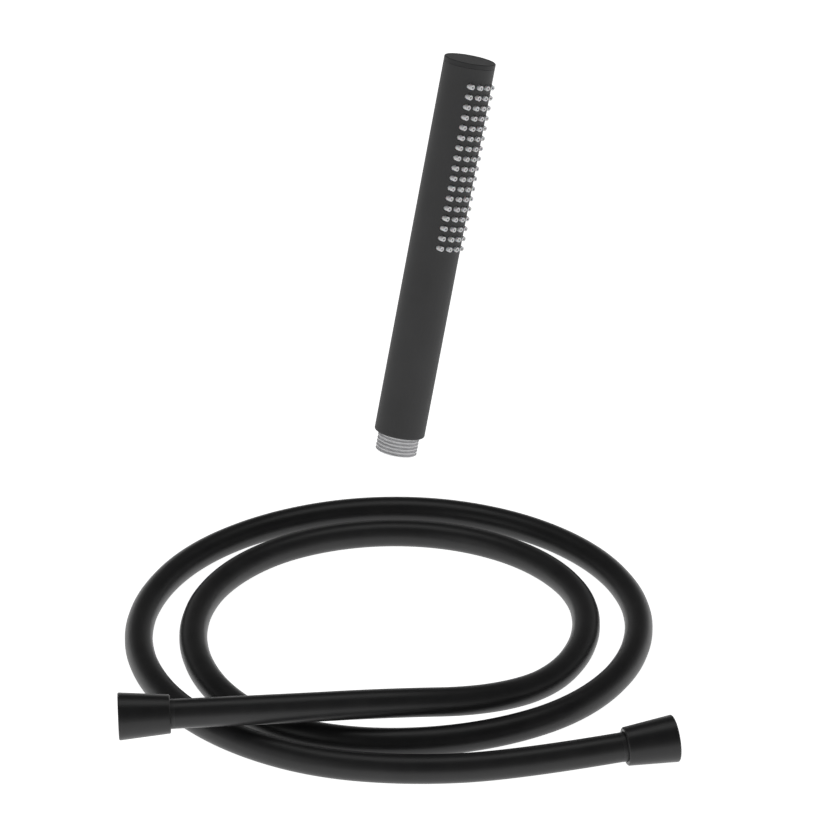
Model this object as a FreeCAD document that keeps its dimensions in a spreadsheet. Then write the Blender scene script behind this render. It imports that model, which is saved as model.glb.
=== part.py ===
import FreeCAD, Part
import math
import os

import Sketcher
from FreeCAD import Placement, Rotation, Vector

# A stick hand shower and its hose, in millimetres.
# Origin: the middle of the inlet's end face. +Z is up. The hose lies on a level surface below, unscrewed.
# Every handset piece is drawn about its own upright axis, then all of them get the same tilt.

SIZES = [
    ("casing_od", 25.5, "casing and cap, outside"),
    ("casing_wall", 1.5, "casing tube wall"),
    ("body_length", 192, "casing foot to the cap's top"),
    ("cap_thickness", 2.3, "cap above the seam"),
    ("rim_radius", 0.7, "rounding of the casing's foot"),
    ("seam_bevel", 0.15, "break of the edges at the cap's seam"),
    ("lip_thickness", 1.5, "inward lip at the casing's foot"),
    ("nozzle_rows", 17, "rows along the casing"),
    ("nozzle_columns", 4, "nozzles in a row"),
    ("row_pitch", 5.09, "row to row"),
    ("column_pitch", 4.4, "column to column, square to the jets"),
    ("field_below_top", 11.1, "first row below the cap's top"),
    ("nozzle_hole", 3.2, "hole in the casing for a nozzle"),
    ("nozzle_base", 2.9, "nozzle where it leaves the casing"),
    ("nozzle_tip", 2.4, "nozzle at its tip"),
    ("nozzle_proud", 1.5, "nozzle tips above the casing"),
    ("jet_bore", 1.0, "bore of a nozzle"),
    ("pad_thickness", 1.1, "silicone pad"),
    ("plate_thickness", 1.5, "perforated plate behind the pad"),
    ("plate_hole", 1.6, "hole in the plate behind a nozzle"),
    ("pad_edge", 4, "degrees of pad and plate beyond the outer nozzles"),
    ("pad_margin", 4.8, "pad beyond the first and last rows"),
    ("thread_major", 20.955, "half-inch pipe thread, crest of the pin"),
    ("thread_pitch", 1.814, "half-inch pipe thread, pitch"),
    ("thread_depth", 1.162, "half-inch pipe thread, depth"),
    ("nipple_length", 10, "inlet nipple below the casing"),
    ("nipple_turns", 5, "turns cut on the nipple"),
    ("nipple_lead", 0.5, "bevel at the nipple's end"),
    ("nipple_neck", 0.35, "depth of the neck inside the casing's lip"),
    ("pocket_bore", 15, "bore that holds the inlet parts"),
    ("pocket_depth", 24, "depth of that bore"),
    ("water_bore", 9, "water way above the pocket"),
    ("shoulder_length", 8.5, "shoulder that rests on the casing's lip"),
    ("stem_od", 16, "inlet stem inside the casing"),
    ("spigot_step", 1.2, "step down to the stem's end that plugs into the chamber"),
    ("spigot_length", 8, "length of that end"),
    ("chamber_skirt", 5.6, "spray chamber below the pad"),
    ("seal_section", 1.6, "section of the shoulder's seal ring"),
    ("small_seal", 1.1, "section of the smaller seal rings"),
    ("cap_spigot", 3.3, "cap's spigot below the seam"),
    ("spigot_wall", 2.65, "wall of the cap's spigot"),
    ("slide_gap", 0.2, "radial gap of a part that slides into a bore"),
    ("seat_gap", 0.1, "gap between parts that rest on each other"),
    ("strainer_thickness", 1.2, "inlet strainer"),
    ("limiter_thickness", 3.4, "flow limiter"),
    ("limiter_bore", 4.4, "flow limiter's hole"),
    ("valve_wall", 1.35, "non-return valve's body"),
    ("valve_seat_bore", 7.2, "hole in the valve's seat"),
    ("valve_seat", 2.0, "seat thickness"),
    ("guide_thickness", 2.4, "disc that guides the stem"),
    ("poppet_od", 10.4, "poppet"),
    ("poppet_thickness", 1.6, "poppet disc"),
    ("poppet_stem", 3.0, "poppet's stem"),
    ("poppet_nub", 3.6, "nub that carries the seal"),
    ("valve_seal_thickness", 0.9, "rubber under the poppet"),
    ("spring_coil", 5.2, "valve spring, mean diameter"),
    ("spring_wire", 0.6, "valve spring, wire"),
    ("spring_turns", 6, "valve spring, turns"),
    ("lean_right", 10.4, "degrees the handset leans to the right"),
    ("lean_back", 12, "degrees the handset leans back"),
    ("face_turn", 49.5, "degrees the nozzles turn to the front from the right"),
    ("inlet_height", 174, "origin above the surface that the hose lies on"),
    ("hose_od", 15.5, "hose, outside"),
    ("sheath_wall", 2.0, "hose's outer layer"),
    ("liner_wall", 1.5, "hose's inner tube"),
    ("layer_gap", 0.15, "between the hose's two layers"),
    ("ferrule_rim", 2.2, "ferrule that shows behind the nut"),
    ("nut_mouth_wall", 2.02, "nut's wall outside the thread at its mouth"),
    ("nut_lip_wall", 2.05, "nut's wall at the hose"),
    ("nut_length", 27, "nut"),
    ("nut_edge", 0.5, "rounding of the nut's edges"),
    ("nut_turns", 5, "turns cut in the nut"),
    ("nut_lead", 2, "first turn's middle behind the nut's mouth"),
    ("nut_relief", 0.2, "room round the washer, wider than the thread's crest"),
    ("lip_length", 9.2, "nut's inner lip round the ferrule"),
    ("turning_gap", 0.3, "radial gap round parts that turn"),
    ("ring_thickness", 1.4, "slip ring"),
    ("flange_thickness", 1.6, "flange of the hose tail"),
    ("washer_thickness", 2.2, "rubber washer"),
    ("washer_bore", 10, "washer's hole"),
    ("tail_wall", 0.75, "hose tail's wall between its barbs"),
    ("barb_depth", 0.35, "hose tail's barbs"),
    ("tail_reach", 9, "hose tail inside the hose"),
]

# The hose's route from end a to end b: right, away, and how far the hose is lifted off the surface.
# It makes two loose loops, and its first stretch passes over the other two.
ROUTE = [
    (-115, -13.2, 18.75), (-60, -8.5, 18.8), (-4, -2, 18.3), (48, 14, 9.3), (85, 46, 1.3),
    (105, 92, 0), (103, 141, 0), (75, 183, 0), (29, 208, 0), (-24, 210, 0), (-73, 189, 0),
    (-106, 147, 0), (-115, 94, 0), (-100, 41, 0), (-65, 1, 0), (-13, -14, 0), (45, -7, 0),
    (95, 19, 0), (127, 64, 0), (136, 119, 0), (119, 172, 0), (81, 213, 0), (29, 236, 0),
    (-27, 237, 0), (-79, 217, 0), (-119, 181, 0), (-141, 132, 0), (-143, 81, 0), (-125, 33, 0),
    (-91, -5, 0), (-46, -30, 0), (6, -38, 0), (61, -33, 0), (116.4, -20.9, 3.15),
]
BEND_SHARE = 0.45

doc = FreeCAD.newDocument("hand_shower")
sheet = doc.addObject("Spreadsheet::Sheet", "Sizes")
for row, (alias, number, meaning) in enumerate(SIZES, start=1):
    sheet.set(f"A{row}", str(number))
    sheet.setAlias(f"A{row}", alias)
    sheet.set(f"B{row}", meaning)
doc.recompute()


def size(expression):
    """The number that an expression in the sheet's names stands for."""
    result = sheet.evalExpression(expression)
    return float(getattr(result, "Value", result))


def origin_part(body, role):
    """A plane or axis of the body's own origin."""
    return next(item for item in body.Origin.OriginFeatures if item.Role == role)


def new_body(label):
    """An empty body that will be one sub-part."""
    body = doc.addObject("PartDesign::Body", label)
    body.Label = label
    return body


def outline(body, name, corners):
    """A closed outline in the body's XZ plane, each corner held at (radius, height) expressions."""
    sketch = body.newObject("Sketcher::SketchObject", name)
    sketch.AttachmentSupport = [(origin_part(body, "XZ_Plane"), "")]
    sketch.MapMode = "FlatFace"
    places = [Vector(size(radius), size(height), 0) for radius, height in corners]
    count = len(places)
    for index, place in enumerate(places):
        sketch.addGeometry(Part.LineSegment(place, places[(index + 1) % count]), False)
    for index in range(count):
        sketch.addConstraint(Sketcher.Constraint("Coincident", index, 2, (index + 1) % count, 1))
    for index, (radius, height) in enumerate(corners):
        if radius == "0":
            sketch.addConstraint(Sketcher.Constraint("PointOnObject", index, 1, -2))
        else:
            across = Sketcher.Constraint("DistanceX", -1, 1, index, 1, places[index].x)
            sketch.setExpression(f"Constraints[{sketch.addConstraint(across)}]", radius)
        along = Sketcher.Constraint("DistanceY", -1, 1, index, 1, places[index].y)
        sketch.setExpression(f"Constraints[{sketch.addConstraint(along)}]", height)
    return sketch


def turned(label, corners, arc="360"):
    """A body turned about its axis from an outline, or a sector of it centred on +X."""
    body = new_body(label)
    sketch = outline(body, f"{label}_outline", corners)
    turn = body.newObject("PartDesign::Revolution", f"{label}_turn")
    turn.Profile = sketch
    turn.ReferenceAxis = (sketch, ["V_Axis"])
    turn.Midplane = True
    turn.setExpression("Angle", arc)
    doc.recompute()
    return body


def groove(body, name, corners, arc="360"):
    """A groove turned into a body, which must take material away."""
    before = body.Shape.Volume
    sketch = outline(body, f"{name}_outline", corners)
    cut = body.newObject("PartDesign::Groove", name)
    cut.Profile = sketch
    cut.ReferenceAxis = (sketch, ["V_Axis"])
    cut.Midplane = True
    cut.setExpression("Angle", arc)
    doc.recompute()
    if not body.Shape.Volume < before:
        raise RuntimeError(f"{name} takes nothing away")
    return cut


def repeat_along(body, name, feature, pitch, number):
    """Copies of a feature along the body's axis."""
    pattern = body.newObject("PartDesign::LinearPattern", name)
    pattern.Originals = [feature]
    pattern.Direction = (origin_part(body, "Z_Axis"), [""])
    pattern.setExpression("Length", f"{pitch} * ({number} - 1)")
    pattern.setExpression("Occurrences", number)
    body.Tip = pattern
    doc.recompute()


def repeat_round(body, name, feature, number):
    """Copies of a feature evenly round the body's axis."""
    pattern = body.newObject("PartDesign::PolarPattern", name)
    pattern.Originals = [feature]
    pattern.Axis = (origin_part(body, "Z_Axis"), [""])
    pattern.Angle = 360
    pattern.Occurrences = number
    body.Tip = pattern
    doc.recompute()


def along_axis(body, kind, name, radius, height, across="0", up="0"):
    """A round additive or subtractive feature parallel to the body's axis."""
    feature = body.newObject(f"PartDesign::{kind}", name)
    feature.AttachmentSupport = [(origin_part(body, "XY_Plane"), "")]
    feature.MapMode = "FlatFace"
    feature.setExpression("Radius", radius)
    feature.setExpression("Height", height)
    feature.setExpression("AttachmentOffset.Base.x", across)
    feature.setExpression("AttachmentOffset.Base.z", up)
    doc.recompute()
    return feature


def nozzle_field(body, name, kind, sizes):
    """Parallel round features, one for each column of nozzles, repeated in rows along the axis.
    Each property in sizes has an expression in which ACROSS stands for the column's offset."""
    for column in range(round(size("Sizes.nozzle_columns"))):
        across = f"(({column} - (Sizes.nozzle_columns - 1) / 2) * Sizes.column_pitch)"
        feature = body.newObject(f"PartDesign::{kind}", f"{name}_{column}")
        feature.AttachmentSupport = [(origin_part(body, "YZ_Plane"), "")]
        feature.MapMode = "FlatFace"
        feature.setExpression("AttachmentOffset.Base.x", across)
        feature.setExpression("AttachmentOffset.Base.y", LAST_ROW)
        for place, expression in sizes.items():
            feature.setExpression(place, expression.replace("ACROSS", across))
        doc.recompute()
        repeat_along(body, f"{name}_rows_{column}", feature, "Sizes.row_pitch", "Sizes.nozzle_rows")


def seal_ring(label, inner_radius, section, middle):
    """A rubber ring of round section that sits on a groove's floor."""
    body = new_body(label)
    sketch = body.newObject("Sketcher::SketchObject", f"{label}_section")
    sketch.AttachmentSupport = [(origin_part(body, "XZ_Plane"), "")]
    sketch.MapMode = "FlatFace"
    radius = f"({section} / 2)"
    centre = Vector(size(f"{inner_radius} + {radius}"), size(middle), 0)
    sketch.addGeometry(Part.Circle(centre, Vector(0, 0, 1), size(radius)), False)
    for kind, reference in (("DistanceX", f"{inner_radius} + {radius}"), ("DistanceY", middle)):
        held = sketch.addConstraint(Sketcher.Constraint(kind, -1, 1, 0, 3, size(reference)))
        sketch.setExpression(f"Constraints[{held}]", reference)
    held = sketch.addConstraint(Sketcher.Constraint("Radius", 0, size(radius)))
    sketch.setExpression(f"Constraints[{held}]", radius)
    turn = body.newObject("PartDesign::Revolution", f"{label}_turn")
    turn.Profile = sketch
    turn.ReferenceAxis = (sketch, ["V_Axis"])
    doc.recompute()
    return body


# Radii and heights that several handset pieces share, all worked out from the sheet.
CASING_R = "(Sizes.casing_od / 2)"
BORE_R = f"({CASING_R} - Sizes.casing_wall)"
INNER_R = f"({BORE_R} - Sizes.slide_gap)"
THREAD_R = "(Sizes.thread_major / 2)"
ROOT_R = f"({THREAD_R} - Sizes.thread_depth)"
FOOT = "Sizes.nipple_length"
LIP_TOP = f"({FOOT} + Sizes.lip_thickness)"
TOP = f"({FOOT} + Sizes.body_length)"
SEAM = f"({TOP} - Sizes.cap_thickness)"
FIRST_ROW = f"({TOP} - Sizes.field_below_top)"
LAST_ROW = f"({FIRST_ROW} - Sizes.row_pitch * (Sizes.nozzle_rows - 1))"
CHAMBER_TOP = f"({SEAM} - Sizes.cap_spigot - 3 * Sizes.seat_gap)"
PAD_FOOT = f"({LAST_ROW} - Sizes.pad_margin)"
CHAMBER_FOOT = f"({PAD_FOOT} - Sizes.chamber_skirt)"
PAD_TOP = f"min({FIRST_ROW} + Sizes.pad_margin; {CHAMBER_TOP})"
PAD_R = f"({BORE_R} - Sizes.seat_gap)"
PAD_INNER_R = f"({PAD_R} - Sizes.pad_thickness)"
PLATE_R = f"({PAD_INNER_R} - Sizes.seat_gap)"
RECESS_R = f"({PLATE_R} - Sizes.plate_thickness - Sizes.seat_gap)"
POCKET_R = "(Sizes.pocket_bore / 2)"
POCKET_FIT_R = f"({POCKET_R} - Sizes.slide_gap / 2)"
OUTER_COLUMN = "((Sizes.nozzle_columns - 1) / 2 * Sizes.column_pitch)"
OUTER_EDGE = f"({OUTER_COLUMN} + Sizes.nozzle_base / 2)"
PAD_ARC = f"(2 * asin({OUTER_EDGE} / {PAD_INNER_R}) / 1 deg + Sizes.pad_edge)"
OVERCUT = 1
THREAD_HALF_OPENING = 0.45
THREAD_HALF_FLAT = 0.08


def thread_cut(crest, root, height):
    """Corners of one turn's V groove, from just past the crest to the root."""
    beyond = f"({crest} + ({crest} - {root}) / 4)"
    return [
        (beyond, f"{height} - {THREAD_HALF_OPENING} * Sizes.thread_pitch"),
        (beyond, f"{height} + {THREAD_HALF_OPENING} * Sizes.thread_pitch"),
        (root, f"{height} + {THREAD_HALF_FLAT} * Sizes.thread_pitch"),
        (root, f"{height} - {THREAD_HALF_FLAT} * Sizes.thread_pitch"),
    ]


# Casing tube: drawn metal tube with the nozzle holes and a lip that the inlet core rests on.
casing = turned("casing_tube", [
    (f"{THREAD_R} + Sizes.turning_gap", FOOT),
    (CASING_R, FOOT),
    (CASING_R, f"{SEAM} - Sizes.seam_bevel"),
    (f"{CASING_R} - Sizes.seam_bevel", SEAM),
    (BORE_R, SEAM),
    (BORE_R, LIP_TOP),
    (f"{THREAD_R} + Sizes.turning_gap", LIP_TOP),
])
foot_edge = next(
    f"Edge{number}" for number, edge in enumerate(casing.Shape.Edges, start=1)
    if edge.Closed and abs(edge.BoundBox.ZMax - size(FOOT)) < 0.001
    and abs(edge.BoundBox.XLength - size("Sizes.casing_od")) < 0.001
)
casing_turn = casing.Tip
rim = casing.newObject("PartDesign::Fillet", "foot_rim")
rim.Base = (casing_turn, [foot_edge])
rim.setExpression("Radius", "min(Sizes.rim_radius; 0.6 * Sizes.casing_wall)")
doc.recompute()
nozzle_field(casing, "nozzle_hole", "SubtractiveCylinder", {
    "Radius": "Sizes.nozzle_hole / 2",
    "Height": f"{CASING_R} + {OVERCUT}",
})

# Cap: a disc that closes the casing flush, with a hollow spigot and a seal groove.
SPIGOT_FOOT = f"({SEAM} - Sizes.cap_spigot)"
CAP_GROOVE = f"({SEAM} - Sizes.cap_spigot / 2)"
CAP_GROOVE_R = f"({BORE_R} - Sizes.small_seal - Sizes.slide_gap)"
CAP_GROOVE_HALF = "(Sizes.small_seal / 2 + Sizes.seat_gap)"
turned("top_cap", [
    ("0", SEAM),
    (f"{INNER_R} - Sizes.spigot_wall", SEAM),
    (f"{INNER_R} - Sizes.spigot_wall", SPIGOT_FOOT),
    (INNER_R, SPIGOT_FOOT),
    (INNER_R, f"{CAP_GROOVE} - {CAP_GROOVE_HALF}"),
    (CAP_GROOVE_R, f"{CAP_GROOVE} - {CAP_GROOVE_HALF}"),
    (CAP_GROOVE_R, f"{CAP_GROOVE} + {CAP_GROOVE_HALF}"),
    (INNER_R, f"{CAP_GROOVE} + {CAP_GROOVE_HALF}"),
    (INNER_R, SEAM),
    (f"{CASING_R} - Sizes.seam_bevel", SEAM),
    (CASING_R, f"{SEAM} + Sizes.seam_bevel"),
    (CASING_R, f"{TOP} - 2 * Sizes.seam_bevel"),
    (f"{CASING_R} - 2 * Sizes.seam_bevel", TOP),
    ("0", TOP),
])
seal_ring("cap_o_ring", f"{CAP_GROOVE_R} + Sizes.seat_gap / 2", "Sizes.small_seal", CAP_GROOVE)

# Silicone pad: a curved strip against the casing's wall, with a bored nozzle through every hole.
# The nozzles all point the same way, and their tips follow the casing's curve.
pad = turned("nozzle_pad", [
    (PAD_INNER_R, PAD_FOOT),
    (PAD_R, PAD_FOOT),
    (PAD_R, PAD_TOP),
    (PAD_INNER_R, PAD_TOP),
], PAD_ARC)
NOZZLE_ROOT = f"sqrt({PAD_INNER_R}^2 - (abs(ACROSS) + Sizes.nozzle_base / 2)^2)"
NOZZLE_END = f"sqrt(({CASING_R} + Sizes.nozzle_proud)^2 - ACROSS^2)"
nozzle_field(pad, "nozzle", "AdditiveCone", {
    "AttachmentOffset.Base.z": NOZZLE_ROOT,
    "Radius1": "Sizes.nozzle_base / 2",
    "Radius2": "Sizes.nozzle_tip / 2",
    "Height": f"{NOZZLE_END} - {NOZZLE_ROOT}",
})
groove(pad, "inner_face", [
    ("0", f"{PAD_FOOT} - {OVERCUT}"),
    (PAD_INNER_R, f"{PAD_FOOT} - {OVERCUT}"),
    (PAD_INNER_R, f"{PAD_TOP} + {OVERCUT}"),
    ("0", f"{PAD_TOP} + {OVERCUT}"),
], "180")
nozzle_field(pad, "jet", "SubtractiveCylinder", {
    "Radius": "Sizes.jet_bore / 2",
    "Height": f"{CASING_R} + Sizes.nozzle_proud + {OVERCUT}",
})

# Plate: the rigid strip that presses the pad to the casing and feeds each nozzle through a hole.
plate = turned("nozzle_plate", [
    (f"{PLATE_R} - Sizes.plate_thickness", PAD_FOOT),
    (PLATE_R, PAD_FOOT),
    (PLATE_R, PAD_TOP),
    (f"{PLATE_R} - Sizes.plate_thickness", PAD_TOP),
], PAD_ARC)
nozzle_field(plate, "feed", "SubtractiveCylinder", {"Radius": "Sizes.plate_hole / 2", "Height": CASING_R})

# Spray chamber: the moulded block that carries the plate and takes the water along behind it.
SPIGOT_R = "(Sizes.stem_od / 2 - Sizes.spigot_step)"
SOCKET_R = f"({SPIGOT_R} + Sizes.slide_gap)"
SOCKET_TOP = f"({CHAMBER_FOOT} + Sizes.spigot_length + Sizes.slide_gap)"
WATER_R = "(Sizes.water_bore / 2)"
chamber = turned("spray_chamber", [
    (SOCKET_R, CHAMBER_FOOT),
    (INNER_R, CHAMBER_FOOT),
    (INNER_R, CHAMBER_TOP),
    ("0", CHAMBER_TOP),
    ("0", f"{LAST_ROW} + {OVERCUT}"),
    (WATER_R, f"{LAST_ROW} + {OVERCUT}"),
    (WATER_R, SOCKET_TOP),
    (SOCKET_R, SOCKET_TOP),
])
groove(chamber, "plate_recess", [
    (RECESS_R, f"{PAD_FOOT} - Sizes.seat_gap"),
    (CASING_R, f"{PAD_FOOT} - Sizes.seat_gap"),
    (CASING_R, f"{CHAMBER_TOP} + {OVERCUT}"),
    (RECESS_R, f"{CHAMBER_TOP} + {OVERCUT}"),
], f"{PAD_ARC} + Sizes.pad_edge / 2")
CHANNEL_WIDTH = f"(2 * {OUTER_COLUMN} + Sizes.plate_hole + 4 * Sizes.seat_gap)"
channel = chamber.newObject("PartDesign::SubtractiveBox", "water_channel")
channel.AttachmentSupport = [(origin_part(chamber, "XY_Plane"), "")]
channel.MapMode = "FlatFace"
channel.setExpression("Length", f"{WATER_R} + {CASING_R}")
channel.setExpression("Width", CHANNEL_WIDTH)
channel.setExpression("Height", "Sizes.row_pitch * (Sizes.nozzle_rows - 1) + 2 * Sizes.plate_hole")
channel.setExpression("AttachmentOffset.Base.x", f"-{WATER_R}")
channel.setExpression("AttachmentOffset.Base.y", f"-{CHANNEL_WIDTH} / 2")
channel.setExpression("AttachmentOffset.Base.z", f"{LAST_ROW} - Sizes.plate_hole")
doc.recompute()

# Inlet core: moulded in one piece, from the threaded nipple to the spigot that plugs into the chamber.
SHOULDER_TOP = f"({LIP_TOP} + Sizes.shoulder_length)"
CORE_GROOVE = f"({LIP_TOP} + Sizes.shoulder_length / 2)"
CORE_GROOVE_R = f"({BORE_R} - Sizes.seal_section - Sizes.slide_gap / 2)"
CORE_GROOVE_HALF = "(Sizes.seal_section / 2 + Sizes.seat_gap)"
SPIGOT_TOP = f"({CHAMBER_FOOT} + Sizes.spigot_length)"
SPIGOT_GROOVE = f"({CHAMBER_FOOT} + Sizes.spigot_length / 2)"
SPIGOT_GROOVE_R = f"({SOCKET_R} - Sizes.small_seal - Sizes.slide_gap / 2)"
core = turned("inlet_core", [
    (POCKET_R, "0"),
    (f"{THREAD_R} - Sizes.nipple_lead", "0"),
    (THREAD_R, "Sizes.nipple_lead"),
    (THREAD_R, f"{FOOT} - Sizes.seat_gap"),
    (f"{THREAD_R} - Sizes.nipple_neck", f"{FOOT} - Sizes.seat_gap"),
    (f"{THREAD_R} - Sizes.nipple_neck", LIP_TOP),
    (INNER_R, LIP_TOP),
    (INNER_R, f"{CORE_GROOVE} - {CORE_GROOVE_HALF}"),
    (CORE_GROOVE_R, f"{CORE_GROOVE} - {CORE_GROOVE_HALF}"),
    (CORE_GROOVE_R, f"{CORE_GROOVE} + {CORE_GROOVE_HALF}"),
    (INNER_R, f"{CORE_GROOVE} + {CORE_GROOVE_HALF}"),
    (INNER_R, SHOULDER_TOP),
    ("Sizes.stem_od / 2", SHOULDER_TOP),
    ("Sizes.stem_od / 2", f"{CHAMBER_FOOT} - Sizes.seat_gap"),
    (SPIGOT_R, f"{CHAMBER_FOOT} - Sizes.seat_gap"),
    (SPIGOT_R, f"{SPIGOT_GROOVE} - {CAP_GROOVE_HALF}"),
    (SPIGOT_GROOVE_R, f"{SPIGOT_GROOVE} - {CAP_GROOVE_HALF}"),
    (SPIGOT_GROOVE_R, f"{SPIGOT_GROOVE} + {CAP_GROOVE_HALF}"),
    (SPIGOT_R, f"{SPIGOT_GROOVE} + {CAP_GROOVE_HALF}"),
    (SPIGOT_R, SPIGOT_TOP),
    (WATER_R, SPIGOT_TOP),
    (WATER_R, "Sizes.pocket_depth"),
    (POCKET_R, "Sizes.pocket_depth"),
])
FIRST_TURN = "(Sizes.nipple_lead + 0.47 * Sizes.thread_pitch)"
first_turn = groove(core, "thread_turn", thread_cut(THREAD_R, ROOT_R, FIRST_TURN))
repeat_along(core, "thread_turns", first_turn, "Sizes.thread_pitch", "Sizes.nipple_turns")
seal_ring("core_o_ring", f"{CORE_GROOVE_R} + Sizes.seat_gap / 2", "Sizes.seal_section", CORE_GROOVE)
seal_ring("chamber_o_ring", f"{SPIGOT_GROOVE_R} + Sizes.seat_gap / 2", "Sizes.small_seal", SPIGOT_GROOVE)

# Inlet parts, pushed into the nipple one after another: strainer, flow limiter, non-return valve.
STRAINER_FOOT = "(4 * Sizes.seat_gap)"
STRAINER_TOP = f"({STRAINER_FOOT} + Sizes.strainer_thickness)"
strainer = turned("inlet_strainer", [
    ("0", STRAINER_FOOT),
    (POCKET_FIT_R, STRAINER_FOOT),
    (POCKET_FIT_R, STRAINER_TOP),
    ("0", STRAINER_TOP),
])
for ring, (share, number) in enumerate(((0.36, 6), (0.74, 12)), start=1):
    sieve = along_axis(strainer, "SubtractiveCylinder", f"sieve_hole_{ring}", f"0.1 * {POCKET_R}",
                       f"{STRAINER_TOP} + {OVERCUT}", f"{share} * {POCKET_R}")
    repeat_round(strainer, f"sieve_ring_{ring}", sieve, number)

LIMITER_FOOT = f"({STRAINER_TOP} + Sizes.seat_gap)"
LIMITER_TOP = f"({LIMITER_FOOT} + Sizes.limiter_thickness)"
LIMITER_GROOVE = f"(({LIMITER_FOOT} + {LIMITER_TOP}) / 2)"
LIMITER_GROOVE_R = f"({POCKET_R} - Sizes.small_seal - Sizes.slide_gap / 2)"
turned("flow_limiter", [
    ("Sizes.limiter_bore / 2", LIMITER_FOOT),
    (POCKET_FIT_R, LIMITER_FOOT),
    (POCKET_FIT_R, f"{LIMITER_GROOVE} - {CAP_GROOVE_HALF}"),
    (LIMITER_GROOVE_R, f"{LIMITER_GROOVE} - {CAP_GROOVE_HALF}"),
    (LIMITER_GROOVE_R, f"{LIMITER_GROOVE} + {CAP_GROOVE_HALF}"),
    (POCKET_FIT_R, f"{LIMITER_GROOVE} + {CAP_GROOVE_HALF}"),
    (POCKET_FIT_R, LIMITER_TOP),
    ("Sizes.limiter_bore / 2", LIMITER_TOP),
])
seal_ring("limiter_o_ring", f"{LIMITER_GROOVE_R} + Sizes.seat_gap / 2", "Sizes.small_seal", LIMITER_GROOVE)

VALVE_FOOT = f"({LIMITER_TOP} + Sizes.seat_gap)"
VALVE_TOP = "(Sizes.pocket_depth - Sizes.seat_gap)"
SEAT_TOP = f"({VALVE_FOOT} + Sizes.valve_seat)"
GUIDE_FOOT = f"({VALVE_TOP} - Sizes.guide_thickness)"
GUIDE_R = "(Sizes.poppet_stem / 2 + Sizes.slide_gap)"
VALVE_ROOM_R = f"({POCKET_FIT_R} - Sizes.valve_wall)"
valve = turned("valve_body", [
    ("Sizes.valve_seat_bore / 2", VALVE_FOOT),
    (POCKET_FIT_R, VALVE_FOOT),
    (POCKET_FIT_R, VALVE_TOP),
    (GUIDE_R, VALVE_TOP),
    (GUIDE_R, GUIDE_FOOT),
    (VALVE_ROOM_R, GUIDE_FOOT),
    (VALVE_ROOM_R, SEAT_TOP),
    ("Sizes.valve_seat_bore / 2", SEAT_TOP),
])
port = along_axis(valve, "SubtractiveCylinder", "valve_port", f"0.28 * ({VALVE_ROOM_R} - {GUIDE_R})",
                  f"Sizes.guide_thickness + 2 * {OVERCUT}", f"0.55 * ({VALVE_ROOM_R} + {GUIDE_R})",
                  f"{GUIDE_FOOT} - {OVERCUT}")
repeat_round(valve, "valve_ports", port, 6)

SEAL_FOOT = f"({SEAT_TOP} + Sizes.seat_gap / 2)"
POPPET_FOOT = f"({SEAL_FOOT} + Sizes.valve_seal_thickness + Sizes.seat_gap / 2)"
POPPET_TOP = f"({POPPET_FOOT} + Sizes.poppet_thickness)"
turned("valve_poppet", [
    ("0", f"{POPPET_FOOT} - 0.8 * Sizes.valve_seal_thickness"),
    ("Sizes.poppet_nub / 2", f"{POPPET_FOOT} - 0.8 * Sizes.valve_seal_thickness"),
    ("Sizes.poppet_nub / 2", POPPET_FOOT),
    ("Sizes.poppet_od / 2", POPPET_FOOT),
    ("Sizes.poppet_od / 2", POPPET_TOP),
    ("Sizes.poppet_stem / 2", POPPET_TOP),
    ("Sizes.poppet_stem / 2", VALVE_TOP),
    ("0", VALVE_TOP),
])
turned("valve_seal", [
    ("Sizes.poppet_nub / 2 + Sizes.seat_gap", SEAL_FOOT),
    ("Sizes.poppet_od / 2 - Sizes.seat_gap", SEAL_FOOT),
    ("Sizes.poppet_od / 2 - Sizes.seat_gap", f"{SEAL_FOOT} + Sizes.valve_seal_thickness"),
    ("Sizes.poppet_nub / 2 + Sizes.seat_gap", f"{SEAL_FOOT} + Sizes.valve_seal_thickness"),
])

# Valve spring: one helix of round wire between the poppet and the guide.
spring_foot = size(f"{POPPET_TOP} + Sizes.spring_wire / 2 + Sizes.seat_gap")
spring_top = size(f"{GUIDE_FOOT} - Sizes.spring_wire / 2 - Sizes.seat_gap")
coil_radius = size("Sizes.spring_coil / 2")
helix = Part.makeHelix((spring_top - spring_foot) / size("Sizes.spring_turns"),
                       spring_top - spring_foot, coil_radius)
wire_section = Part.Wire(Part.makeCircle(size("Sizes.spring_wire / 2"), Vector(coil_radius, 0, 0),
                                         Vector(0, 1, 0)))
spring = doc.addObject("Part::Feature", "valve_spring")
spring.Label = "valve_spring"
spring.Shape = Part.Wire(helix.Edges).makePipeShell([wire_section], True, True)

HANDSET = [
    "casing_tube", "top_cap", "cap_o_ring", "nozzle_pad", "nozzle_plate", "spray_chamber", "inlet_core",
    "core_o_ring", "chamber_o_ring", "inlet_strainer", "flow_limiter", "limiter_o_ring", "valve_body",
    "valve_poppet", "valve_seal", "valve_spring",
]
tilt = (Rotation(Vector(1, 0, 0), -size("Sizes.lean_back"))
        * Rotation(Vector(0, 1, 0), size("Sizes.lean_right"))
        * Rotation(Vector(0, 0, 1), -size("Sizes.face_turn")))
for name in HANDSET:
    doc.getObject(name).Placement = Placement(Vector(0, 0, 0), tilt)
spring.Placement = Placement(tilt.multVec(Vector(0, 0, spring_foot)), tilt)

# Hose: an outer sheath and an inner tube on one route of straight runs and tangent arcs.
resting_height = size("Sizes.hose_od / 2 - Sizes.inlet_height")
points = [Vector(right, away, resting_height + lift) for right, away, lift in ROUTE]


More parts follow.
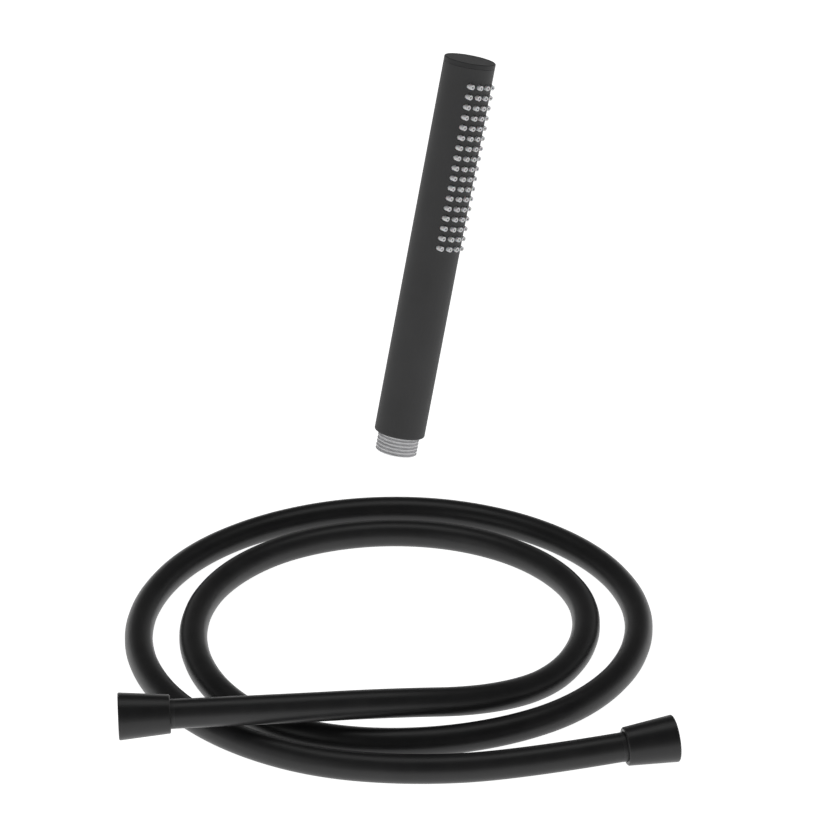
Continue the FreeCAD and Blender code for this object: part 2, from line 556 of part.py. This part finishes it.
def hose_path(extra):
    """The route as one wire, lengthened straight on by extra at both ends, and its bend radii."""
    starts = (points[0] - points[1]).normalize() * extra
    ends = (points[-1] - points[-2]).normalize() * extra
    edges = []
    radii = []
    last = points[0] + starts
    for before, corner, after in zip(points, points[1:], points[2:]):
        run_in = before - corner
        run_out = after - corner
        half_turn = (math.pi - run_in.getAngle(run_out)) / 2
        cut = BEND_SHARE * min(run_in.Length, run_out.Length)
        first = corner + run_in.normalize() * cut
        final = corner + run_out.normalize() * cut
        radius = cut / math.tan(half_turn)
        inward = (first + final - corner * 2).normalize()
        middle = corner + inward * (radius / math.cos(half_turn) - radius)
        edges.append(Part.LineSegment(last, first).toShape())
        edges.append(Part.Arc(first, middle, final).toShape())
        radii.append(radius)
        last = final
    edges.append(Part.LineSegment(last, points[-1] + ends).toShape())
    return Part.Wire(edges), radii


def hose_layer(label, outer_radius, wall, extra):
    """One layer of the hose, swept along the route, with its volume checked."""
    path, radii = hose_path(extra)
    start = path.Edges[0].valueAt(path.Edges[0].FirstParameter)
    heading = points[1] - points[0]
    rim_circles = [Part.Wire(Part.makeCircle(radius, start, heading))
                   for radius in (outer_radius, outer_radius - wall)]
    solid = path.makePipe(Part.makeFace(rim_circles, "Part::FaceMakerBullseye"))
    section = math.pi * (outer_radius ** 2 - (outer_radius - wall) ** 2)
    print(f"{label}: length {path.Length:.1f}, tightest bend {min(radii):.0f}, "
          f"volume over section times length {solid.Volume / (section * path.Length):.4f}")
    layer = doc.addObject("Part::Feature", label)
    layer.Label = label
    layer.Shape = solid
    return radii


sheath_radius = size("Sizes.hose_od / 2")
liner_radius = size("Sizes.hose_od / 2 - Sizes.sheath_wall - Sizes.layer_gap")
NUT_FOOT = "Sizes.ferrule_rim"
LIP_END = f"({NUT_FOOT} + Sizes.lip_length)"
FERRULE_END = f"({LIP_END} + Sizes.ring_thickness + Sizes.seat_gap)"
bend_radii = hose_layer("hose_sheath", sheath_radius, size("Sizes.sheath_wall"), 0)
hose_layer("hose_liner", liner_radius, size("Sizes.liner_wall"), size(f"{FERRULE_END} - Sizes.seat_gap"))
print("bend radii", [round(radius) for radius in bend_radii])

# Hose ends: the same five pieces at each end, drawn with +Z running out of the hose from its cut end.
HOSE_R = "(Sizes.hose_od / 2)"
LINER_R = f"({HOSE_R} - Sizes.sheath_wall - Sizes.layer_gap)"
LIP_R = f"({HOSE_R} + Sizes.turning_gap)"
FLANGE_R = f"({ROOT_R} - Sizes.turning_gap)"
NUT_MOUTH = f"({NUT_FOOT} + Sizes.nut_length)"
FLANGE_FOOT = f"({FERRULE_END} + Sizes.seat_gap)"
FLANGE_TOP = f"({FLANGE_FOOT} + Sizes.flange_thickness)"
WASHER_FOOT = f"({FLANGE_TOP} + Sizes.seat_gap)"
RELIEF_TOP = f"({WASHER_FOOT} + Sizes.washer_thickness + Sizes.seat_gap)"
BARB_R = f"({LINER_R} - Sizes.liner_wall - Sizes.seat_gap)"
TAIL_R = f"({BARB_R} - Sizes.barb_depth)"
TAIL_BORE_R = f"({TAIL_R} - Sizes.tail_wall)"
MOUTH_R = f"({THREAD_R} + Sizes.nut_mouth_wall)"
NECK_R = f"({LIP_R} + Sizes.nut_lip_wall)"
NUT_SLOPE = f"(({MOUTH_R} - {NECK_R}) / Sizes.nut_length)"


def tail_corners():
    """Outline of the hose tail: a flange, and a stem with three barbs that the liner grips."""
    barb_length = "(Sizes.tail_reach / 3)"
    corners = [
        (TAIL_BORE_R, FLANGE_TOP),
        (FLANGE_R, FLANGE_TOP),
        (FLANGE_R, FLANGE_FOOT),
        (TAIL_R, FLANGE_FOOT),
    ]
    for barb in range(3):
        root = f"-{barb} * {barb_length}"
        corners += [(TAIL_R, root), (BARB_R, root), (TAIL_R, f"{root} - 0.8 * {barb_length}")]
    corners += [(TAIL_R, "-Sizes.tail_reach"), (TAIL_BORE_R, "-Sizes.tail_reach")]
    return corners


def hose_end(letter, tip, outward):
    """Ferrule, slip ring, tail, washer and conical nut of one end."""
    turned(f"crimp_ferrule_{letter}", [
        (f"{LINER_R} + Sizes.layer_gap", "0"),
        (HOSE_R, "0"),
        (HOSE_R, FERRULE_END),
        (f"{LINER_R} + Sizes.layer_gap", FERRULE_END),
    ])
    turned(f"slip_ring_{letter}", [
        (LIP_R, f"{LIP_END} + Sizes.seat_gap"),
        (FLANGE_R, f"{LIP_END} + Sizes.seat_gap"),
        (FLANGE_R, f"{LIP_END} + Sizes.ring_thickness"),
        (LIP_R, f"{LIP_END} + Sizes.ring_thickness"),
    ])
    turned(f"hose_tail_{letter}", tail_corners())
    turned(f"nut_washer_{letter}", [
        ("Sizes.washer_bore / 2", WASHER_FOOT),
        (FLANGE_R, WASHER_FOOT),
        (FLANGE_R, f"{WASHER_FOOT} + Sizes.washer_thickness"),
        ("Sizes.washer_bore / 2", f"{WASHER_FOOT} + Sizes.washer_thickness"),
    ])
    nut = turned(f"conical_nut_{letter}", [
        (LIP_R, NUT_FOOT),
        (f"{NECK_R} - Sizes.nut_edge", NUT_FOOT),
        (f"{NECK_R} + {NUT_SLOPE} * Sizes.nut_edge", f"{NUT_FOOT} + Sizes.nut_edge"),
        (f"{MOUTH_R} - {NUT_SLOPE} * Sizes.nut_edge", f"{NUT_MOUTH} - Sizes.nut_edge"),
        (f"{MOUTH_R} - Sizes.nut_edge", NUT_MOUTH),
        (THREAD_R, NUT_MOUTH),
        (ROOT_R, f"{NUT_MOUTH} - 0.6 * Sizes.thread_depth"),
        (ROOT_R, RELIEF_TOP),
        (f"{ROOT_R} + Sizes.nut_relief", RELIEF_TOP),
        (f"{ROOT_R} + Sizes.nut_relief", LIP_END),
        (LIP_R, LIP_END),
    ])
    last_turn = f"({NUT_MOUTH} - Sizes.nut_lead - Sizes.thread_pitch * (Sizes.nut_turns - 1))"
    turn = groove(nut, f"nut_thread_turn_{letter}", thread_cut(ROOT_R, THREAD_R, last_turn))
    repeat_along(nut, f"nut_thread_turns_{letter}", turn, "Sizes.thread_pitch", "Sizes.nut_turns")
    seat = Placement(tip, Rotation(Vector(0, 0, 1), outward))
    for piece in ("crimp_ferrule", "slip_ring", "hose_tail", "nut_washer", "conical_nut"):
        doc.getObject(f"{piece}_{letter}").Placement = seat


hose_end("a", points[0], points[0] - points[1])
hose_end("b", points[-1], points[-1] - points[-2])
doc.recompute()

END_PIECES = ("crimp_ferrule", "slip_ring", "hose_tail", "nut_washer", "conical_nut")
SUB_PARTS = HANDSET + ["hose_sheath", "hose_liner"]
SUB_PARTS += [f"{piece}_{letter}" for letter in ("a", "b") for piece in END_PIECES]

for item in doc.Objects:
    if {"Invalid", "Error"} & set(item.State):
        raise RuntimeError(f"{item.Name} failed: {item.State}")
os.makedirs("parts", exist_ok=True)
for name in SUB_PARTS:
    shape = doc.getObject(name).Shape
    if shape.isNull() or not shape.isValid() or len(shape.Solids) != 1:
        raise RuntimeError(f"{name} isn't one sound solid")
for name in SUB_PARTS:
    doc.getObject(name).Shape.exportStep(f"parts/{name}.step")
    box = doc.getObject(name).Shape.BoundBox
    print(f"{name}: {doc.getObject(name).Shape.Volume:.1f} mm3, "
          f"{box.XLength:.1f} x {box.YLength:.1f} x {box.ZLength:.1f}")
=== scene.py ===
import math

import bmesh
import bpy
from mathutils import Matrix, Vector


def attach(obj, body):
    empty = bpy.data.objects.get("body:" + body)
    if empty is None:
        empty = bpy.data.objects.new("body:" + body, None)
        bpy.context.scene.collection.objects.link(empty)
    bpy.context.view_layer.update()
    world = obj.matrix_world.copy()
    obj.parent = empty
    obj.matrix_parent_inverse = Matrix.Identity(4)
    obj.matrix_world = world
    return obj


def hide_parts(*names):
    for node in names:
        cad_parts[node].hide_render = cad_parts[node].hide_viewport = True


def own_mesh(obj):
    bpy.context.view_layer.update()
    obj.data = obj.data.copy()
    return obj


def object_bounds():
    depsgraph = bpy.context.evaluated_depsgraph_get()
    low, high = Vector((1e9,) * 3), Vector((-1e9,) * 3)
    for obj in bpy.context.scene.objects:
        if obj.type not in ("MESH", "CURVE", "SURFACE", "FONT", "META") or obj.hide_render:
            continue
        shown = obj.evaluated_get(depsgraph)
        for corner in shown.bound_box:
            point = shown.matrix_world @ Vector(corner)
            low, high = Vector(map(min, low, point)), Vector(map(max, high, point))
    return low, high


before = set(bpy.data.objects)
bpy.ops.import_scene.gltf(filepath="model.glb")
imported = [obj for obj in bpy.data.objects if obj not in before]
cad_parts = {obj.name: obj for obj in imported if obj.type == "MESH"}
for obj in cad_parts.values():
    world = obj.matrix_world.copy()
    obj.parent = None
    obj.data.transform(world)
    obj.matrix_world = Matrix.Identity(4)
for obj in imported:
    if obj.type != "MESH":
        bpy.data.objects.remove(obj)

scene = bpy.context.scene
cad_low, cad_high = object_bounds()

# Camera: a long lens that looks down on the set from the front, level from side to side.
# Its distance and height frame the handset standing behind the hose's two loops.
camera_data = bpy.data.cameras.new("camera")
camera_data.sensor_width = 36
camera_data.lens = 150.25
camera_data.clip_end = 20
camera = bpy.data.objects.new("camera", camera_data)
camera.location = (0.0096, -1.5313, 0.8245)
CAMERA_LOOKS_DOWN = 27.7
camera.rotation_euler = (math.radians(90 - CAMERA_LOOKS_DOWN), 0, 0)
scene.collection.objects.link(camera)
scene.camera = camera


# Hose: a smooth black PVC tube, 15.5 mm across, unscrewed and laid on the floor in two loose loops.
# It is extruded in one length over a clear liner.
# Its first stretch rises over the two loops that it crosses.
HOSE_DIAMETER = 0.0155
HOSE_RESTS = cad_low.z + HOSE_DIAMETER / 2
HOSE_ROUTE = [
    (-0.115, -0.0132, 0.01875), (-0.060, -0.0085, 0.0188), (-0.004, -0.002, 0.0183),
    (0.048, 0.014, 0.0093), (0.085, 0.046, 0.0013), (0.105, 0.092, 0), (0.103, 0.141, 0),
    (0.075, 0.183, 0), (0.029, 0.208, 0), (-0.024, 0.210, 0), (-0.073, 0.189, 0),
    (-0.106, 0.147, 0), (-0.115, 0.094, 0), (-0.100, 0.041, 0), (-0.065, 0.001, 0),
    (-0.013, -0.014, 0), (0.045, -0.007, 0), (0.095, 0.019, 0), (0.127, 0.064, 0),
    (0.136, 0.119, 0), (0.119, 0.172, 0), (0.081, 0.213, 0), (0.029, 0.236, 0),
    (-0.027, 0.237, 0), (-0.079, 0.217, 0), (-0.119, 0.181, 0), (-0.141, 0.132, 0),
    (-0.143, 0.081, 0), (-0.125, 0.033, 0), (-0.091, -0.005, 0), (-0.046, -0.030, 0),
    (0.006, -0.038, 0), (0.061, -0.033, 0), (0.1164, -0.0209, 0.00315),
]


def new_material(name, colour, roughness, metallic=0.0, specular=0.5):
    """A node material whose shader holds the surface's constant values."""
    material = bpy.data.materials.new(name)
    material.use_nodes = True
    shader = material.node_tree.nodes["Principled BSDF"]
    shader.inputs["Base Color"].default_value = (*colour, 1)
    shader.inputs["Roughness"].default_value = roughness
    shader.inputs["Metallic"].default_value = metallic
    shader.inputs["Specular IOR Level"].default_value = specular
    return material


def add_node(material, kind, **values):
    """A node whose attributes and sockets are set by name."""
    node = material.node_tree.nodes.new(kind)
    for key, value in values.items():
        if key in node.inputs.keys():
            node.inputs[key].default_value = value
        else:
            setattr(node, key, value)
    return node


TONES_FROM, TONES_TO = 0.3, 0.7


def mottle(material, grain, colours, roughness, stretch=(1, 1, 1)):
    """Noise of one grain size shifts the colour between two tones and the gloss between two values."""
    tree = material.node_tree
    shader = tree.nodes["Principled BSDF"]
    place = add_node(material, "ShaderNodeTexCoord")
    scale = add_node(material, "ShaderNodeMapping")
    scale.inputs["Scale"].default_value = stretch
    noise = add_node(material, "ShaderNodeTexNoise", Scale=1 / grain, Detail=4.0)
    tint = add_node(material, "ShaderNodeValToRGB", name="tint")
    tint.color_ramp.elements[0].position = TONES_FROM
    tint.color_ramp.elements[1].position = TONES_TO
    for element, colour in zip(tint.color_ramp.elements, colours):
        element.color = (*colour, 1)
    gloss = add_node(material, "ShaderNodeMapRange", name="gloss")
    gloss.inputs["To Min"].default_value = roughness[0]
    gloss.inputs["To Max"].default_value = roughness[1]
    tree.links.new(place.outputs["Object"], scale.inputs["Vector"])
    tree.links.new(scale.outputs["Vector"], noise.inputs["Vector"])
    tree.links.new(noise.outputs["Fac"], tint.inputs["Fac"])
    tree.links.new(noise.outputs["Fac"], gloss.inputs["Value"])
    tree.links.new(tint.outputs["Color"], shader.inputs["Base Color"])
    tree.links.new(gloss.outputs["Result"], shader.inputs["Roughness"])


def roughen(material, grain, depth, stretch=(1, 1, 1)):
    """Fine noise raises and lowers the surface; a stretch turns it into machining or brush marks."""
    tree = material.node_tree
    place = add_node(material, "ShaderNodeTexCoord")
    scale = add_node(material, "ShaderNodeMapping")
    scale.inputs["Scale"].default_value = stretch
    noise = add_node(material, "ShaderNodeTexNoise", Scale=1 / grain, Detail=2.0)
    relief = add_node(material, "ShaderNodeBump", name="relief", Strength=0.5, Distance=depth)
    tree.links.new(place.outputs["Object"], scale.inputs["Vector"])
    tree.links.new(scale.outputs["Vector"], noise.inputs["Vector"])
    tree.links.new(noise.outputs["Fac"], relief.inputs["Height"])
    tree.links.new(relief.outputs["Normal"], tree.nodes["Principled BSDF"].inputs["Normal"])


hose_curve = bpy.data.curves.new("hose", "CURVE")
hose_curve.dimensions = "3D"
hose_line = hose_curve.splines.new("NURBS")
hose_line.points.add(len(HOSE_ROUTE) - 1)
for point, (right, away, lift) in zip(hose_line.points, HOSE_ROUTE):
    point.co = (right, away, HOSE_RESTS + lift, 1)
hose_line.order_u = 3
hose_line.use_endpoint_u = True
hose_line.resolution_u = 12
hose_curve.bevel_depth = HOSE_DIAMETER / 2
hose_curve.bevel_resolution = 8
hose_curve.use_fill_caps = True
hose = bpy.data.objects.new("hose", hose_curve)
scene.collection.objects.link(hose)
black_pvc = new_material("black_pvc", (0.022, 0.022, 0.0225), 0.4, specular=0.38)
mottle(black_pvc, 0.012, ((0.019, 0.019, 0.0195), (0.025, 0.025, 0.0255)), (0.34, 0.42))
roughen(black_pvc, 0.0006, 0.00002)
hose_curve.materials.append(black_pvc)
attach(hose, "hose")
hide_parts("hose_sheath", "hose_liner")


# Conical nuts: one at each end of the hose, turned from brass and coated in a satin black.
# Each has a female half-inch pipe thread at its wide mouth and a lip that bears on the slip ring.
WEAR_STARTS = 0.97
WEAR_IS_FULL = 0.85
MOST_WEAR = 0.6
FACTOR = 0
COLOUR_A, COLOUR_B, COLOUR_RESULT = 6, 7, 2
NUMBER_A, NUMBER_B, NUMBER_RESULT = 2, 3, 0


def wear_edges(material, bare, reach, worn_gloss):
    """Rubs the edges: where the surface turns within the reach, the bare colour and gloss show through."""
    tree = material.node_tree
    shader = tree.nodes["Principled BSDF"]
    rounded = add_node(material, "ShaderNodeBevel", samples=4, Radius=reach)
    true_face = add_node(material, "ShaderNodeNewGeometry")
    turn = add_node(material, "ShaderNodeVectorMath", operation="DOT_PRODUCT")
    rubbed = add_node(material, "ShaderNodeMapRange")
    rubbed.inputs["From Min"].default_value = WEAR_STARTS
    rubbed.inputs["From Max"].default_value = WEAR_IS_FULL
    rubbed.inputs["To Max"].default_value = MOST_WEAR
    tree.links.new(rounded.outputs["Normal"], turn.inputs[0])
    tree.links.new(true_face.outputs["Normal"], turn.inputs[1])
    tree.links.new(turn.outputs["Value"], rubbed.inputs["Value"])
    colours = add_node(material, "ShaderNodeMix", data_type="RGBA")
    colours.inputs[COLOUR_B].default_value = (*bare, 1)
    tree.links.new(rubbed.outputs["Result"], colours.inputs[FACTOR])
    tree.links.new(tree.nodes["tint"].outputs["Color"], colours.inputs[COLOUR_A])
    tree.links.new(colours.outputs[COLOUR_RESULT], shader.inputs["Base Color"])
    glosses = add_node(material, "ShaderNodeMix", data_type="FLOAT")
    glosses.inputs[NUMBER_B].default_value = worn_gloss
    tree.links.new(rubbed.outputs["Result"], glosses.inputs[FACTOR])
    tree.links.new(tree.nodes["gloss"].outputs["Result"], glosses.inputs[NUMBER_A])
    tree.links.new(glosses.outputs[NUMBER_RESULT], shader.inputs["Roughness"])


def dress(material, *names):
    """Gives a material to CAD nodes."""
    for name in names:
        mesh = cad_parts[name].data
        mesh.materials.clear()
        mesh.materials.append(material)


black_nut = new_material("black_nut", (0.018, 0.018, 0.0185), 0.38, specular=0.38)
mottle(black_nut, 0.008, ((0.016, 0.016, 0.0165), (0.020, 0.020, 0.0205)), (0.32, 0.4))
roughen(black_nut, 0.0004, 0.000012)
wear_edges(black_nut, (0.03, 0.029, 0.028), 0.0003, 0.3)
dress(black_nut, "conical_nut_a", "conical_nut_b")

# Crimp ferrules: thin black-coated sleeves, one in each nut. Each is pressed round the hose's end,
# so that the hose grips the barbs of the tail inside it.
ferrule_coat = new_material("ferrule_coat", (0.03, 0.03, 0.03), 0.45, specular=0.4)
mottle(ferrule_coat, 0.005, ((0.026, 0.026, 0.027), (0.036, 0.036, 0.036)), (0.4, 0.5))
roughen(ferrule_coat, 0.0005, 0.00002, (1, 1, 4))
wear_edges(ferrule_coat, (0.11, 0.11, 0.11), 0.0002, 0.35)
dress(ferrule_coat, "crimp_ferrule_a", "crimp_ferrule_b")

# Hose tails: turned brass tubes with barbs that hold the hose and a flange that seats the washer.
# Their bore shows in the mouth of each nut, with the fine rings of the turning tool.
turned_brass = new_material("turned_brass", (0.62, 0.45, 0.19), 0.3, metallic=1.0)
mottle(turned_brass, 0.004, ((0.54, 0.38, 0.15), (0.68, 0.51, 0.23)), (0.24, 0.38))
roughen(turned_brass, 0.0006, 0.00002, (5, 1, 1))
wear_edges(turned_brass, (0.75, 0.58, 0.30), 0.0002, 0.2)
dress(turned_brass, "hose_tail_a", "hose_tail_b")

# Slip rings: white acetal rings between each tail and its nut, so that the nut turns freely.
# They are moulded, and slightly polished where the nut has rubbed them.
acetal = new_material("acetal", (0.72, 0.72, 0.70), 0.35)
mottle(acetal, 0.006, ((0.68, 0.68, 0.66), (0.76, 0.76, 0.74)), (0.28, 0.42))
roughen(acetal, 0.0005, 0.00001)
wear_edges(acetal, (0.80, 0.80, 0.78), 0.0002, 0.25)
dress(acetal, "slip_ring_a", "slip_ring_b")

# Nut washers: flat rings of black rubber on each tail's flange, pressed by whatever is screwed in.
# They are punched from sheet, with a faint cloth print on both faces.
sheet_rubber = new_material("sheet_rubber", (0.02, 0.02, 0.02), 0.6, specular=0.3)
mottle(sheet_rubber, 0.003, ((0.016, 0.016, 0.016), (0.028, 0.028, 0.028)), (0.52, 0.68))
roughen(sheet_rubber, 0.0003, 0.00004)
wear_edges(sheet_rubber, (0.05, 0.05, 0.05), 0.0002, 0.5)
dress(sheet_rubber, "nut_washer_a", "nut_washer_b")

# Casing tube: the handset's drawn metal tube, 25.5 mm across, in a fine matt black powder coat.
# Its nozzle holes are drilled before coating, and their rims carry a thinner coat.
powder_coat = new_material("matt_black_metal", (0.056, 0.056, 0.057), 0.6, specular=0.2)
mottle(powder_coat, 0.02, ((0.052, 0.052, 0.0525), (0.060, 0.060, 0.061)), (0.54, 0.62))
roughen(powder_coat, 0.00035, 0.00001)
wear_edges(powder_coat, (0.08, 0.08, 0.08), 0.00025, 0.45)
dress(powder_coat, "casing_tube")

# Top cap: a turned plug of the same metal, pushed into the tube's end with its seal.
# Its flat face is coated with the tube, so only a fine seam shows between them. Its coat is a darker
# copy of the tube's coat: painted shade that makes the cap's top darker than the tube's sides.
# Painted shade: the same powder coat with a darker base colour and a darker edge colour, so the cap's top
# looks shaded.
cap_coat_painted_shade = new_material("cap_coat_painted_shade", (0.046, 0.046, 0.047), 0.6, specular=0.2)
mottle(cap_coat_painted_shade, 0.012, ((0.043, 0.043, 0.0435), (0.049, 0.049, 0.050)), (0.54, 0.62))
roughen(cap_coat_painted_shade, 0.00035, 0.00001)
wear_edges(cap_coat_painted_shade, (0.07, 0.07, 0.07), 0.0003, 0.45)
dress(cap_coat_painted_shade, "top_cap")

# Rubber rings: black nitrile O-rings on the cap, on the inlet's core, in the chamber and at the
# limiter, and the valve's seal. They are moulded, greased, and hidden inside the tube.
nitrile = new_material("nitrile", (0.018, 0.018, 0.018), 0.4, specular=0.4)
mottle(nitrile, 0.003, ((0.014, 0.014, 0.014), (0.024, 0.024, 0.024)), (0.28, 0.5))
roughen(nitrile, 0.0003, 0.00001)
dress(nitrile, "cap_o_ring", "core_o_ring", "chamber_o_ring", "limiter_o_ring", "valve_seal")

# Nozzle pad: a curved strip of soft grey silicone behind the tube's wall, moulded in one piece.
# A bored nozzle stands out of each of its holes, so that scale can be rubbed off with a thumb.
silicone = new_material("grey_silicone", (0.74, 0.74, 0.75), 0.55, specular=0.35)
silicone_shader = silicone.node_tree.nodes["Principled BSDF"]
silicone_shader.inputs["Subsurface Weight"].default_value = 0.05
silicone_shader.inputs["Subsurface Scale"].default_value = 0.0004
mottle(silicone, 0.004, ((0.70, 0.70, 0.71), (0.78, 0.78, 0.79)), (0.48, 0.62))
roughen(silicone, 0.0003, 0.00001)
wear_edges(silicone, (0.84, 0.84, 0.84), 0.0002, 0.45)
dress(silicone, "nozzle_pad")

# Nozzle plate: a rigid strip of white acetal that presses the pad against the tube.
# It has a feed hole behind each nozzle and is clipped in by the spray chamber.
plate_acetal = new_material("plate_acetal", (0.74, 0.74, 0.72), 0.38)
mottle(plate_acetal, 0.01, ((0.70, 0.70, 0.68), (0.78, 0.78, 0.76)), (0.32, 0.45))
roughen(plate_acetal, 0.0004, 0.00001)
wear_edges(plate_acetal, (0.82, 0.82, 0.80), 0.0002, 0.3)
dress(plate_acetal, "nozzle_plate")

# Spray chamber: the white moulded core that fills the tube and carries water to the plate.
# It plugs onto the inlet's stem, and its flow lines run along its length.
chamber_plastic = new_material("chamber_plastic", (0.76, 0.76, 0.74), 0.42)
mottle(chamber_plastic, 0.012, ((0.72, 0.72, 0.70), (0.80, 0.80, 0.78)), (0.36, 0.5), (1, 1, 0.3))
roughen(chamber_plastic, 0.0005, 0.00001, (1, 1, 0.3))
wear_edges(chamber_plastic, (0.84, 0.84, 0.82), 0.0003, 0.35)
dress(chamber_plastic, "spray_chamber")

# Inlet core: grey moulded plastic with a half-inch pipe thread at its end and a stem inside the tube.
# The thread's crests are rubbed a little smoother by the nut.
inlet_plastic = new_material("grey_plastic", (0.68, 0.68, 0.69), 0.45, specular=0.4)
mottle(inlet_plastic, 0.006, ((0.65, 0.65, 0.66), (0.72, 0.72, 0.73)), (0.4, 0.52))
roughen(inlet_plastic, 0.0004, 0.00001)
wear_edges(inlet_plastic, (0.76, 0.76, 0.76), 0.0003, 0.35)
dress(inlet_plastic, "inlet_core")

# Inlet strainer: a disc of stainless steel with small holes, pushed into the inlet's pocket.
# It is punched from sheet and keeps grit out of the nozzles.
punched_steel = new_material("punched_steel", (0.55, 0.55, 0.55), 0.3, metallic=1.0)
mottle(punched_steel, 0.003, ((0.48, 0.48, 0.48), (0.62, 0.62, 0.61)), (0.22, 0.38))
roughen(punched_steel, 0.0004, 0.00001, (6, 1, 1))
wear_edges(punched_steel, (0.7, 0.7, 0.7), 0.0001, 0.2)
dress(punched_steel, "inlet_strainer")

# Flow limiter: a white moulded insert above the strainer, with ports that hold the flow down.
# It has the slight gloss of a polished mould.
limiter_plastic = new_material("limiter_plastic", (0.78, 0.78, 0.77), 0.3)
mottle(limiter_plastic, 0.004, ((0.74, 0.74, 0.73), (0.82, 0.82, 0.81)), (0.24, 0.38))
roughen(limiter_plastic, 0.0004, 0.00001)
wear_edges(limiter_plastic, (0.86, 0.86, 0.85), 0.0002, 0.22)
dress(limiter_plastic, "flow_limiter")

# Non-return valve: a white moulded cage in the inlet, and a poppet that slides in it.
# Both are acetal, and the poppet's stem is polished by its guide.
valve_acetal = new_material("valve_acetal", (0.75, 0.75, 0.74), 0.34)
mottle(valve_acetal, 0.004, ((0.70, 0.70, 0.69), (0.80, 0.80, 0.79)), (0.26, 0.42))
roughen(valve_acetal, 0.0004, 0.00001)
wear_edges(valve_acetal, (0.84, 0.84, 0.83), 0.0002, 0.24)
dress(valve_acetal, "valve_body", "valve_poppet")

# Valve spring: a coil of stainless wire round the poppet's stem that closes the valve.
# Drawing leaves fine lines along the wire. The coil is built at one fixed length, though in use it
# shortens towards its guide as the poppet lifts.
spring_wire = new_material("spring_wire", (0.6, 0.6, 0.6), 0.22, metallic=1.0)
mottle(spring_wire, 0.002, ((0.52, 0.52, 0.52), (0.68, 0.68, 0.67)), (0.16, 0.3))
roughen(spring_wire, 0.0002, 0.000006, (1, 1, 5))
coil_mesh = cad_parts["valve_spring"].data.copy()
coil_bm = bmesh.new()
coil_bm.from_mesh(coil_mesh)
SAME_POINT = 0.000001
bmesh.ops.remove_doubles(coil_bm, verts=coil_bm.verts, dist=SAME_POINT)
bmesh.ops.recalc_face_normals(coil_bm, faces=coil_bm.faces)
coil_bm.to_mesh(coil_mesh)
coil_bm.free()
coil_mesh.materials.clear()
coil_mesh.materials.append(spring_wire)
coil = bpy.data.objects.new("valve_coil", coil_mesh)
scene.collection.objects.link(coil)
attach(coil, "handset")
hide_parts("valve_spring")
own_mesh(coil)

# Studio: a wide white floor that glows as if lit from below, a soft light overhead and a weaker
# one at the front left. The walls are pale at the floor and fall off to a dark ceiling.
FLOOR_HALF_SIZE = 6
FLOOR_GAP = 0.0001
floor_mesh = bpy.data.meshes.new("floor")
floor_bm = bmesh.new()
bmesh.ops.create_grid(floor_bm, x_segments=1, y_segments=1, size=FLOOR_HALF_SIZE)
bmesh.ops.translate(floor_bm, verts=floor_bm.verts, vec=(0, 0, cad_low.z - FLOOR_GAP))
floor_bm.to_mesh(floor_mesh)
floor_bm.free()
floor = bpy.data.objects.new("floor", floor_mesh)
scene.collection.objects.link(floor)
pale_floor = new_material("pale_floor", (0.9, 0.9, 0.9), 0.9, specular=0.1)
floor_shader = pale_floor.node_tree.nodes["Principled BSDF"]
floor_shader.inputs["Emission Color"].default_value = (1, 1, 1, 1)
floor_shader.inputs["Emission Strength"].default_value = 1.0
floor_mesh.materials.append(pale_floor)

GLOW_AT_FLOOR = 0.7
GLOW_OVERHEAD = 0.06
OVERHEAD_STARTS = 0.4
world = bpy.data.worlds.new("studio")
world.use_nodes = True
studio_walls = world.node_tree.nodes["Background"]
studio_walls.inputs["Color"].default_value = (1, 1, 1, 1)
direction = world.node_tree.nodes.new("ShaderNodeTexCoord")
height = world.node_tree.nodes.new("ShaderNodeSeparateXYZ")
falling = world.node_tree.nodes.new("ShaderNodeMapRange")
falling.inputs["From Max"].default_value = OVERHEAD_STARTS
falling.inputs["To Min"].default_value = GLOW_AT_FLOOR
falling.inputs["To Max"].default_value = GLOW_OVERHEAD
world.node_tree.links.new(direction.outputs["Generated"], height.inputs["Vector"])
world.node_tree.links.new(height.outputs["Z"], falling.inputs["Value"])
world.node_tree.links.new(falling.outputs["Result"], studio_walls.inputs["Strength"])
scene.world = world


def soft_light(name, place, target, width, height, power):
    """A rectangular softbox that faces its target."""
    data = bpy.data.lights.new(name, "AREA")
    data.shape = "RECTANGLE"
    data.size = width
    data.size_y = height
    data.energy = power
    light = bpy.data.objects.new(name, data)
    light.location = place
    light.rotation_euler = (Vector(target) - Vector(place)).to_track_quat("-Z", "Y").to_euler()
    scene.collection.objects.link(light)


soft_light("overhead", (0, 0.4, 1.5), (0, 0.1, -0.17), 1.2, 0.9, 4.2)
soft_light("front_left", (-1.6, -1.4, 0.9), (0, 0, 0), 1.2, 1.2, 3)
scene.view_settings.view_transform = "Standard"
